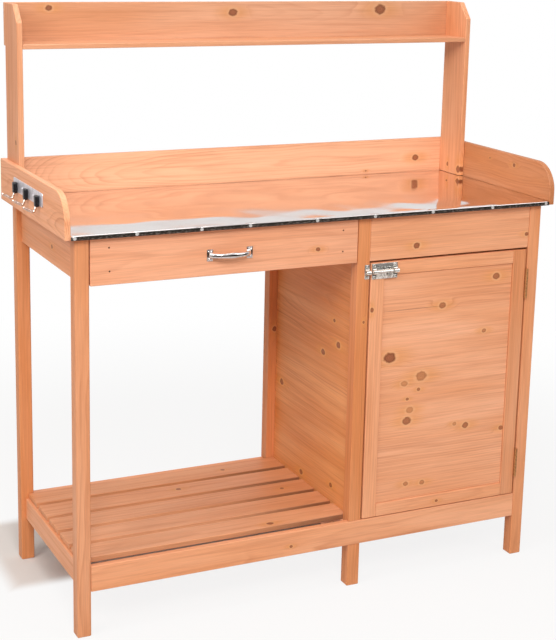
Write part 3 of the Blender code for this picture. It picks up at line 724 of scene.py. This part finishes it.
def buildHandle():
    low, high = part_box("drawer_handle")
    face = high[1]
    height = (low[2] + high[2]) / 2
    wide, deep = (size * mm for size in handleShape["foot"])
    rim = handleShape["footRim"] * mm
    beadUp, beadRadius, beadRise = (size * mm for size in handleShape["bead"])
    petalSide, petalUp = (size * mm for size in handleShape["petalStart"])
    petal = [(far * mm, radius * mm) for far, radius in handleShape["petal"]]
    shape = bmesh.new()
    ends = (low[0] + wide / 2, high[0] - wide / 2)
    for x in ends:
        addBlock(shape, (x - wide / 2, face - deep * 0.6, low[2]), (x + wide / 2, face, high[2]), 0.0005)
        addBlock(shape, (x - wide / 2 + rim, face - deep, low[2] + rim),
                 (x + wide / 2 - rim, face - deep * 0.5, high[2] - rim), 0.0006)
        # A cast ornament: four petals round the bar's root and a bead at each end of the foot
        for up in (-1, 1):
            for side in (-1, 1):
                start = Vector((x + side * petalSide, face - deep, height + up * petalUp))
                addTurned(shape, petal, start, (side * handleShape["petalLean"], -0.05, up), 10)
            addDome(shape, (x, face - deep * 0.9, height + up * beadUp), (0, -1, 0), beadRadius, beadRise, 12)
    bow = face - low[1] - handleShape["middle"][1] * mm - deep * 0.6
    points, sections = [], []
    for k in range(handleShape["steps"] + 1):
        t = -1 + 2 * k / handleShape["steps"]
        x = (ends[0] + ends[1]) / 2 + (ends[1] - ends[0]) / 2 * t * (1 - 0.06 * (1 - abs(t)))
        reach = deep * 0.6 + bow * (1 - abs(t) ** 3.2) ** 0.75
        points.append(Vector((x, face - reach, height)))
        belly = math.exp(-(t / 0.3) ** 2)
        root = max(0, (abs(t) - 0.72) / 0.28) ** 1.5
        sizes = zip(handleShape["neck"], handleShape["middle"], handleShape["end"])
        sections.append([(neck + (middle - neck) * belly + (end - neck) * root) * mm for neck, middle, end in sizes])
    # The bar: an oval carried along the bow
    rings = []
    for k, (point, (tall, thick)) in enumerate(zip(points, sections)):
        ahead = (points[min(k + 1, len(points) - 1)] - points[max(k - 1, 0)]).normalized()
        side = ahead.cross(Vector((0, 0, 1))).normalized()
        rings.append(oval(point, side * thick, side.cross(ahead).normalized() * tall, 16))
    joinRings(shape, rings)
    made = newPiece("drawer_pull", shape, chrome, "drawer", 50)
    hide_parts("drawer_handle")


buildHandle()
print("handle cast")

# ---- barrel bolt ----
latchShape = {
    # All in mm
    "thick": 1.5,  # of the plate and the keeper
    "edge": 0.5,
    "strap": (10, 1.2),  # width and thickness
    "strapFoot": 9.5,
    "keeperFoot": 8.8,
    "hump": (11.5, 0.4, 8.5),  # in from the plate's ends, rise and half height
    "screwRadius": 3.3,
    "screwInset": (5.4, 4.32),
    # A cup is pressed round each screw of the plate: (out, radius)
    "cup": [(0, 4.6), (0.5, 4.6), (0.9, 4.2), (0.9, 3.4), (0.3, 3.2)],
    "slots": (27, 40),
    "slotUp": 5.8,
    "slotHalf": (3.4, 1.1),
    "knob": 40,  # from the bolt's tip
    "knobRadius": 2.5,
    "keeperScrew": (2.8, 3.4),  # radius and inset
}


def addStrap(shape, xs, middleY, middleZ, radius, foot, face):
    # A strap bent round the bolt: a half pipe with a foot above and below
    thick = latchShape["strap"][1] * mm

    def arc(size):
        turns = [math.pi * step / 12 for step in range(13)]
        return [(middleY - size * math.sin(turn), middleZ + size * math.cos(turn)) for turn in turns]

    upper = [(face, foot), (face - thick, foot), (face - thick, radius + thick * 0.4)]
    outside = [(y, middleZ + z) for y, z in upper] + arc(radius) + [(y, middleZ - z) for y, z in reversed(upper)]
    inside = [(face, middleZ + radius - thick)] + arc(radius - thick) + [(face, middleZ - radius + thick)]
    joinRings(shape, [[(x, y, z) for y, z in outside + list(reversed(inside))] for x in xs])


def buildLatch():
    size = {key: value * mm for key, value in latchShape.items() if isinstance(value, (int, float))}
    plateLow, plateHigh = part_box("latch_plate")
    boltLow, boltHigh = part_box("latch_bolt")
    keeperLow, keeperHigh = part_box("latch_keeper")
    radius = (boltHigh[1] - boltLow[1]) / 2
    middleY = (boltLow[1] + boltHigh[1]) / 2
    middleZ = boltHigh[2] - radius
    strapRadius = middleY - plateLow[1]
    wide = latchShape["strap"][0] * mm
    face = plateHigh[1] - size["thick"]
    shape = bmesh.new()
    addBlock(shape, (plateLow[0], face, plateLow[2]), plateHigh, size["edge"])
    # A pressed hump stiffens the plate behind the bolt
    inset, rise, half = (value * mm for value in latchShape["hump"])
    addBlock(shape, (plateLow[0] + inset, face - rise, middleZ - half),
             (plateHigh[0] - inset, face + 0.0002, middleZ + half), 0.0004)
    for start in (plateLow[0] + 0.0002, plateHigh[0] - wide - 0.0002):
        addStrap(shape, (start, start + wide), middleY, middleZ, strapRadius, size["strapFoot"], face)
    plate = newPiece("bolt_plate", shape, boltZinc, "door", 35)
    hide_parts("latch_plate")
    screws = bmesh.new()
    insetX, insetZ = (value * mm for value in latchShape["screwInset"])
    cup = [(out * mm, far * mm) for out, far in latchShape["cup"]]
    for n, x in enumerate((plateLow[0] + insetX, plateHigh[0] - insetX)):
        for m, z in enumerate((plateLow[2] + insetZ, plateHigh[2] - insetZ)):
            addScrew(screws, (x, face, z), (0, -1, 0), size["screwRadius"], 0.4 + n * 0.9 + m * 0.5)
            addTurned(screws, cup, (x, face, z), (0, -1, 0))
    newPiece("bolt_plate_screws", screws, boltZinc, "door", 35)
    # Two dark patches of painted shadow, a hair proud of the plate, stand for the slots punched through it where its
    # straps were pressed out
    slotShadowShape = bmesh.new()
    corners = ((-1, -0.5), (-0.7, -1), (0.7, -1), (1, -0.5), (1, 0.5), (0.7, 1), (-0.7, 1), (-1, 0.5))
    halfLong, halfWide = (value * mm for value in latchShape["slotHalf"])
    along, across = Vector((0.8, 0, -0.6)) * halfLong, Vector((0.6, 0, 0.8)) * halfWide
    for n in latchShape["slots"]:
        middle = Vector((plateLow[0] + n * mm, face - 0.0006, middleZ + size["slotUp"]))
        front = [middle + along * a + across * c for a, c in corners]
        joinRings(slotShadowShape, [[corner + Vector((0, 0.0005, 0)) for corner in front], front])
    newPiece("bolt_plate_slot_shadows", slotShadowShape, plated["painted_slot_shadow"], "door", 35)
    rod = bmesh.new()
    length = boltHigh[0] - boltLow[0]
    addTurned(rod, [(0, radius * 0.72), (0.0012, radius * 0.97), (0.0022, radius),
                    (length - 0.002, radius), (length, radius * 0.8)],
              (boltLow[0], middleY, middleZ), (1, 0, 0), 28)
    reach = middleZ - boltLow[2]
    shares = [(0, 0.62), (radius / reach, 0.62), (0.55, 0.66), (0.72, 0.95), (0.86, 1), (0.96, 0.8), (1, 0.4)]
    addTurned(rod, [(reach * far, size["knobRadius"] * share) for far, share in shares],
              (boltLow[0] + size["knob"], middleY, middleZ), (0, 0, -1))
    bolt = newPiece("bolt_rod", rod, boltZinc, "bolt", 35)
    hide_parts("latch_bolt")
    face = keeperHigh[1] - size["thick"]
    shape = bmesh.new()
    addBlock(shape, (keeperLow[0], face, keeperLow[2]), keeperHigh, size["edge"])
    addStrap(shape, (keeperLow[0] + 0.0008, keeperHigh[0] - 0.0008), middleY, middleZ, strapRadius,
             size["keeperFoot"], face)
    keeper = newPiece("bolt_keeper", shape, boltZinc, "bench", 35)
    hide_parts("latch_keeper")
    screws = bmesh.new()
    screwRadius, inset = (value * mm for value in latchShape["keeperScrew"])
    middleX = (keeperLow[0] + keeperHigh[0]) / 2
    for n, z in enumerate((keeperLow[2] + inset, keeperHigh[2] - inset)):
        addScrew(screws, (middleX, face, z), (0, -1, 0), screwRadius, 0.2 + n)
    newPiece("bolt_keeper_screws", screws, boltZinc, "bench", 35)


buildLatch()
for name in frame["nodes"]:
    if name.startswith("hinge_"):
        dressNode(name, plated["brassed_hinge_steel"])
print("bolt and hinges plated")

# ---- hook rack ----
rackShape = {
    # All in mm
    "corner": 4,
    "plateEdge": 0.4,
    "screwRadius": 3.0,
    "blockTall": 23,
    "blockDeep": 8.5,
    "blockOver": 0.6,  # past the hook on each side
    "blockEdge": 2.4,
    "wireRadius": 3.0,
    "root": (4.5, 3),  # where the wire starts: out from the rack and up from the block's end
    "lowPoint": 9.5,  # out from the rack
    "tipRise": 13.5,
    "bend": 6,
}
wireSides = 14


def addWire(shape, points, radius):
    # Round wire, its sides square to Y, with rounded ends
    ahead = (points[1] - points[0]).normalized()
    back = (points[-1] - points[-2]).normalized()
    places = [(points[0] - ahead * radius * 0.6, ahead, 0.55), (points[0], ahead, 1.0)]
    for before, point, after in zip(points, points[1:], points[2:]):
        places.append((point, (after - before).normalized(), 1.0))
    for far, share in ((-0.5, 1.0), (0.1, 0.8), (0.4, 0.35)):
        places.append((points[-1] + back * radius * far, back, share))
    side = Vector((0, 1, 0))
    joinRings(shape, [oval(place, side * radius * share, ahead.cross(side).normalized() * radius * share, wireSides)
                      for place, ahead, share in places])
    bmesh.ops.recalc_face_normals(shape, faces=shape.faces)


def buildHookRack():
    size = {key: value * mm for key, value in rackShape.items() if isinstance(value, (int, float))}
    low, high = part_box("hook_rack_plate")
    shape = bmesh.new()
    corner = size["corner"]
    outline = []
    for cy, cz, start in ((high[1] - corner, high[2] - corner, 0), (low[1] + corner, high[2] - corner, 90),
                          (low[1] + corner, low[2] + corner, 180), (high[1] - corner, low[2] + corner, 270)):
        for step in range(5):
            angle = math.radians(start + 90 * step / 4)
            outline.append((cy + corner * math.cos(angle), cz + corner * math.sin(angle)))
    face = shape.faces.new([shape.verts.new((high[0], y, z)) for y, z in outline])
    grown = bmesh.ops.extrude_face_region(shape, geom=[face])
    moved = [v for v in grown["geom"] if isinstance(v, bmesh.types.BMVert)]
    bmesh.ops.translate(shape, verts=moved, vec=(low[0] - high[0], 0, 0))
    bmesh.ops.recalc_face_normals(shape, faces=shape.faces)
    rim = [e for e in shape.edges if all(abs(v.co.x - low[0]) < 1e-6 for v in e.verts)]
    bmesh.ops.bevel(shape, geom=rim, offset=size["plateEdge"], segments=2, affect="EDGES", profile=0.5)
    plate = newPiece("hook_plate", shape, rackZinc, "bench", 35)
    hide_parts("hook_rack_plate")
    boxes = [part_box("hook_%d" % number) for number in (1, 2, 3)]
    centres = sorted((hookLow[1] + hookHigh[1]) / 2 for hookLow, hookHigh in boxes)
    screws = bmesh.new()
    for n, (one, two) in enumerate(zip(centres, centres[1:])):
        place = (low[0], (one + two) / 2, (low[2] + high[2]) / 2 - 0.001)
        addScrew(screws, place, (-1, 0, 0), size["screwRadius"], 0.3 + n)
    newPiece("hook_plate_screws", screws, rackZinc, "bench", 35)
    for number, (hookLow, hookHigh) in enumerate(boxes, 1):
        middle = (hookLow[1] + hookHigh[1]) / 2
        blockLow = hookHigh[2] - size["blockTall"]
        shape = bmesh.new()
        addBlock(shape, (hookHigh[0] - size["blockDeep"], hookLow[1] - size["blockOver"], blockLow),
                 (hookHigh[0], hookHigh[1] + size["blockOver"], hookHigh[2]), size["blockEdge"], 4)
        block = newPiece("hook_block_%d" % number, shape, nylon, "bench", 35)
        # The wire leaves the block's lower end, turns at its low point and rises to its tip
        radius = size["wireRadius"]
        out, up = (value * mm for value in rackShape["root"])
        start = Vector((hookHigh[0] - out, middle, blockLow + up))
        lowest = Vector((hookHigh[0] - size["lowPoint"], middle, hookLow[2] + radius))
        tip = Vector((hookLow[0] + radius * 0.75, middle, hookLow[2] + size["tipRise"] + radius * 0.45))
        before = lowest + (start - lowest).normalized() * size["bend"]
        after = lowest + (tip - lowest).normalized() * size["bend"]
        turn = [step / 8 for step in range(9)]
        curve = [before * (1 - t) ** 2 + lowest * 2 * t * (1 - t) + after * t ** 2 for t in turn]
        shape = bmesh.new()
        addWire(shape, [start] + curve + [tip], radius * 0.92)
        wire = newPiece("hook_wire_%d" % number, shape, plated["plated_hook_wire"], "bench", 60)
        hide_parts("hook_%d" % number)
        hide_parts("hook_%d" % number)


buildHookRack()
print("hook rack hung")

# ---- nails in the wood ----
nailShape = {
    "radius": 1.8,  # mm
    "rise": 0.3,
    "drawer": [(-468, 805), (-467, 758), (42, 803), (42, 758)],  # x and z, mm from the middle and the floor
}


def buildDrawerNails():
    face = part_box("drawer_front")[0][1] + 0.0001
    shape = bmesh.new()
    for x, z in nailShape["drawer"]:
        place = fromBench(x, 0, z)
        place.y = face
        addDome(shape, place, (0, -1, 0), nailShape["radius"] * mm, nailShape["rise"] * mm, 12)
    newPiece("drawer_front_nails", shape, plated["sunk_nail_steel"], "drawer")


buildDrawerNails()
print("nails driven")

# ---- camera ----
cameraLook = {
    "place": (-1366.9, -2606.8, 1423.6),  # mm
    "yaw": 0.45008,  # radians
    "pitch": 0.22112,
    "roll": 0.0226,
    "lens": 82.2,  # mm, on a 36 mm sensor
    "shift": -0.1094,
}


def setCamera():
    data = bpy.data.cameras.new("camera")
    data.lens = cameraLook["lens"]
    data.sensor_width = 36
    data.shift_y = cameraLook["shift"]
    data.clip_end = 60
    camera = newObject("camera", data)
    yaw, pitch, roll = cameraLook["yaw"], cameraLook["pitch"], cameraLook["roll"]
    ahead = Vector((math.sin(yaw) * math.cos(pitch), math.cos(yaw) * math.cos(pitch), -math.sin(pitch)))
    right = Vector((math.cos(yaw), -math.sin(yaw), 0))
    up = right.cross(ahead)
    turnedRight = right * math.cos(roll) + up * math.sin(roll)
    turnedUp = up * math.cos(roll) - right * math.sin(roll)
    turn = Matrix((turnedRight, turnedUp, -ahead)).transposed().to_4x4()
    camera.matrix_world = Matrix.Translation(fromBench(*cameraLook["place"])) @ turn
    bpy.context.scene.camera = camera


# ---- studio ----
studioLook = {
    "floor": "#D6D0CA",
    "floorHalf": 14,  # m
    "floorGlow": 0.86,  # how far the floor is lifted to white, so that only a soft shadow is left
    "floorFade": (0.9, 2.2),  # m from the middle, over which it turns wholly white
    "shadowSpan": {"X": (0, 0.6), "Y": (0.24, 0.2)},  # m, middle and half width
    "back": 1.0,  # strength of the white seen behind the bench
    "fillStrength": 0.25,
    "shineStrength": 0.86,  # what polished metal sees of the white walls
    "front": "#2A2622",  # the unlit side of the studio, that only polished metal shows
    "below": "#EDE3DE",
    "lights": [
        # place (m), aim (m), size (m), power (W)
        ((-1.3, -3.2, 3.1), (0, 0, 0.5), 1.5, 116),
        ((2.4, -2.8, 2.4), (0, 0, 0.6), 1.8, 24),
        ((-0.2, 0.2, 3.3), (0, 0.2, 0.8), 2.2, 40),
        ((-2.3, -0.9, 2.2), (-0.5, 0.1, 0.8), 1.2, 34),
    ],
}
white = (1, 1, 1, 1)


def makeFloorPaint():
    # Matt white paint that fades into the white wall a few metres away
    paint = bpy.data.materials.new("white_floor_paint")
    paint.use_nodes = True
    tree = paint.node_tree
    tree.nodes.clear()
    add = partial(addNode, tree)
    place = add("TexCoord").outputs["Object"]
    far = add("VectorMath LENGTH", place)
    near, wide = studioLook["floorFade"]
    fade = add("MapRange SMOOTHSTEP", far, near, wide, studioLook["floorGlow"], 1.0)
    share = add("LightPath").outputs["Is Camera Ray"]
    # Far under the bench the floor keeps its full shadow, which only the gaps between the slats show
    parts = add("SeparateXYZ", place)
    outside = []
    for axis, (middle, reach) in studioLook["shadowSpan"].items():
        off = add("Math SUBTRACT", parts.outputs[axis], middle)
        size = add("Math ABSOLUTE", off)
        outside.append(add("MapRange SMOOTHSTEP", size, reach - 0.05, reach, 0.0, 1.0))
    clear = add("Math MAXIMUM", *outside)
    for factor in (fade, clear):
        share = add("Math MULTIPLY", factor, share)
    matt = add("BsdfDiffuse", {"Color": lin(studioLook["floor"])})
    glow = add("Emission", {"Color": white, "Strength": 1.0})
    both = add("MixShader", share, matt, glow)
    add("OutputMaterial", both)
    return paint


def setWalls():
    world = bpy.data.worlds.new("studio")
    bpy.context.scene.world = world
    world.use_nodes = True
    world.node_tree.nodes.clear()
    add = partial(addNode, world.node_tree)
    parts = add("SeparateXYZ", add("TexCoord").outputs["Generated"]).outputs
    # Polished metal sees white behind and above, a dark band in front at eye height, and a pale floor below it
    front = add("MapRange SMOOTHSTEP", parts["Y"], -0.5, 0.1, 1.0, 0.0)
    over = add("MapRange SMOOTHSTEP", parts["Z"], -0.42, -0.3, 0.0, 1.0)
    under = add("MapRange SMOOTHSTEP", parts["Z"], 0.12, 0.3, 1.0, 0.0)
    band = add("Math MULTIPLY", over, under)
    dark = add("Math MULTIPLY", band, front)
    ray = add("LightPath").outputs
    share = add("Math MULTIPLY", dark, ray["Is Glossy Ray"])
    low = add("MapRange", parts["Z"], -0.1, 0.1, 1.0, 0.0)
    pale = add("Mix RGBA", {0: low, 6: white, 7: lin(studioLook["below"])})
    around = add("Mix RGBA", {0: share, 6: pale, 7: lin(studioLook["front"])})
    level = add("MapRange", {0: ray["Is Glossy Ray"], 3: studioLook["fillStrength"], 4: studioLook["shineStrength"]})
    lit = add("Background", {"Color": around, "Strength": level})
    seen = add("Background", {"Color": white, "Strength": studioLook["back"]})
    both = add("MixShader", ray["Is Camera Ray"], lit, seen)
    add("OutputWorld", both)


def setLights():
    for number, (place, aim, size, power) in enumerate(studioLook["lights"], 1):
        data = bpy.data.lights.new("softbox_%d" % number, "AREA")
        data.size = size
        data.energy = power
        lamp = newObject(data.name, data)
        lamp.location = place
        lamp.rotation_euler = (Vector(aim) - Vector(place)).to_track_quat("-Z", "Y").to_euler()


def layFloor():
    shape = bmesh.new()
    bmesh.ops.create_grid(shape, x_segments=1, y_segments=1, size=studioLook["floorHalf"])
    floor = newObject("floor", shape)
    floor.data.materials.append(makeFloorPaint())
    floor.visible_glossy = False


setCamera()
setWalls()
setLights()
layFloor()
bpy.context.scene.view_settings.view_transform = "Standard"
print("camera and studio set")
